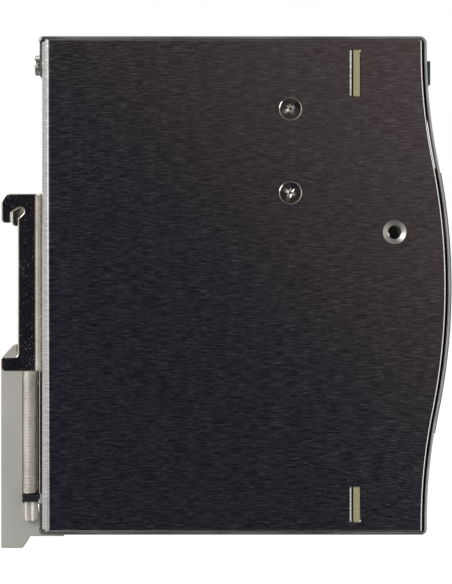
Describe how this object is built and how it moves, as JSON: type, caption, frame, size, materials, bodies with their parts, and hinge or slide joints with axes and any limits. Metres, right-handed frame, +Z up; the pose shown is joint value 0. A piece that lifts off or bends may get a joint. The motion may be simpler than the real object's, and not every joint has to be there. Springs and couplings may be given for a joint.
{
  "type": "din rail power supply",
  "caption": "Power supply in a folded metal casing with a swelling front, hooked over a 35 mm rail by a steel bracket and held by a sprung plastic latch.",
  "frame": {"origin": "centre of the 35 mm rail's seat: the plane of the bracket's edges that the rail's lips bear on, at mid height of the rail and mid width of the casing", "axes": "+X to the unit's right side seen from its front, +Y out of its back towards the rail, +Z up; the front faces -Y"},
  "size_m": [0.0515, 0.1131, 0.1284],
  "materials": {
    "side_steel": "brushed stainless steel",
    "wrap_steel": "fine brushed sheet steel",
    "zinc": "bright zinc plate",
    "nickel": "nickel plate",
    "film": "satin printed film",
    "latch_plastic": "warm light grey moulded plastic",
    "terminal_plastic": "dark grey moulded plastic",
    "green_plastic": "green moulded plastic",
    "lamp": "green tinted lens",
    "blue_plastic": "blue moulded plastic",
    "white_plastic": "natural nylon",
    "board": "glass fibre board, cream at its cut edges",
    "insulation": "translucent insulating sheet",
    "aluminium": "extruded aluminium",
    "epoxy": "black moulding compound",
    "ferrite": "sintered ferrite",
    "tape": "yellow polyester tape",
    "sleeve": "printed shrink sleeve, left plain",
    "film_yellow": "yellow box",
    "ceramic_blue": "blue dipped coat",
    "copper": "enamelled copper wire"
  },
  "bodies": {
    "housing": {"side_cover": "side_steel", "front_wrap": "wrap_steel", "front_label": "film", "rail_bracket": "zinc", "latch_guide": "zinc", "side_insert_left": "zinc", "side_insert_right": "zinc", "spring_pin": "nickel", "latch_spring_left": "nickel", "latch_spring_right": "nickel", "side_screw_upper": "nickel", "side_screw_lower": "nickel", "rear_screw_upper_left": "nickel", "rear_screw_upper_right": "nickel", "rear_screw_lower_left": "nickel", "rear_screw_lower_right": "nickel", "bracket_rivet_upper_left": "nickel", "bracket_rivet_upper_right": "nickel", "bracket_rivet_lower_left": "nickel", "bracket_rivet_lower_right": "nickel", "front_board": "board", "main_board": "board", "insulation_sheet": "insulation", "board_support_1": "white_plastic", "board_support_2": "white_plastic", "board_support_3": "white_plastic", "board_support_4": "white_plastic", "heat_spreader": "aluminium", "power_transistor": "epoxy", "output_rectifier": "epoxy", "transformer_core": "ferrite", "transformer_winding": "tape", "bulk_capacitor": "sleeve", "output_capacitor_1": "sleeve", "output_capacitor_2": "sleeve", "output_capacitor_3": "sleeve", "input_choke": "copper", "output_choke": "copper", "film_capacitor": "film_yellow", "bridge_rectifier": "epoxy", "output_relay": "white_plastic", "control_chip": "epoxy", "varistor": "ceramic_blue", "input_fuse": "white_plastic", "output_terminal_block": "terminal_plastic", "input_terminal_block": "terminal_plastic", "signal_header": "green_plastic", "status_lamp": "lamp", "trimmer_body": "blue_plastic"},
    "latch": {"rail_latch": "latch_plastic", "latch_clip": "nickel"},
    "plug": {"signal_plug": "green_plastic"},
    "trimmer": {"trimmer_rotor": "white_plastic"},
    "output_screw_1": {"output_terminal_screw_1": "nickel"},
    "output_screw_2": {"output_terminal_screw_2": "nickel"},
    "output_screw_3": {"output_terminal_screw_3": "nickel"},
    "output_screw_4": {"output_terminal_screw_4": "nickel"},
    "input_screw_1": {"input_terminal_screw_1": "nickel"},
    "input_screw_2": {"input_terminal_screw_2": "nickel"},
    "input_screw_3": {"input_terminal_screw_3": "nickel"}
  },
  "joints": [
    {"name": "latch_slide", "type": "slide", "parent": "housing", "child": "latch", "axis": [0, 0, -1], "range_m": [0, 0.005], "stiffness_N_per_m": 600, "springref_m": -0.008, "deforming": ["latch_spring_left", "latch_spring_right"]},
    {"name": "plug_pull", "type": "slide", "parent": "housing", "child": "plug", "axis": [0, -1, 0], "range_m": [0, 0.01]},
    {"name": "trimmer_turn", "type": "hinge", "parent": "housing", "child": "trimmer", "pos_m": [0.011, -0.1, 0.021], "axis": [0, -1, 0], "range_deg": [-135, 135]},
    {"name": "output_screw_1_turn", "type": "hinge", "parent": "housing", "child": "output_screw_1", "pos_m": [-0.015, -0.099, 0.0404], "axis": [0, -1, 0], "continuous": true},
    {"name": "output_screw_2_turn", "type": "hinge", "parent": "housing", "child": "output_screw_2", "pos_m": [-0.005, -0.099, 0.0404], "axis": [0, -1, 0], "continuous": true},
    {"name": "output_screw_3_turn", "type": "hinge", "parent": "housing", "child": "output_screw_3", "pos_m": [0.005, -0.099, 0.0404], "axis": [0, -1, 0], "continuous": true},
    {"name": "output_screw_4_turn", "type": "hinge", "parent": "housing", "child": "output_screw_4", "pos_m": [0.015, -0.099, 0.0404], "axis": [0, -1, 0], "continuous": true},
    {"name": "input_screw_1_turn", "type": "hinge", "parent": "housing", "child": "input_screw_1", "pos_m": [-0.01, -0.099, -0.0441], "axis": [0, -1, 0], "continuous": true},
    {"name": "input_screw_2_turn", "type": "hinge", "parent": "housing", "child": "input_screw_2", "pos_m": [0, -0.099, -0.0441], "axis": [0, -1, 0], "continuous": true},
    {"name": "input_screw_3_turn", "type": "hinge", "parent": "housing", "child": "input_screw_3", "pos_m": [0.01, -0.099, -0.0441], "axis": [0, -1, 0], "continuous": true}
  ]
}
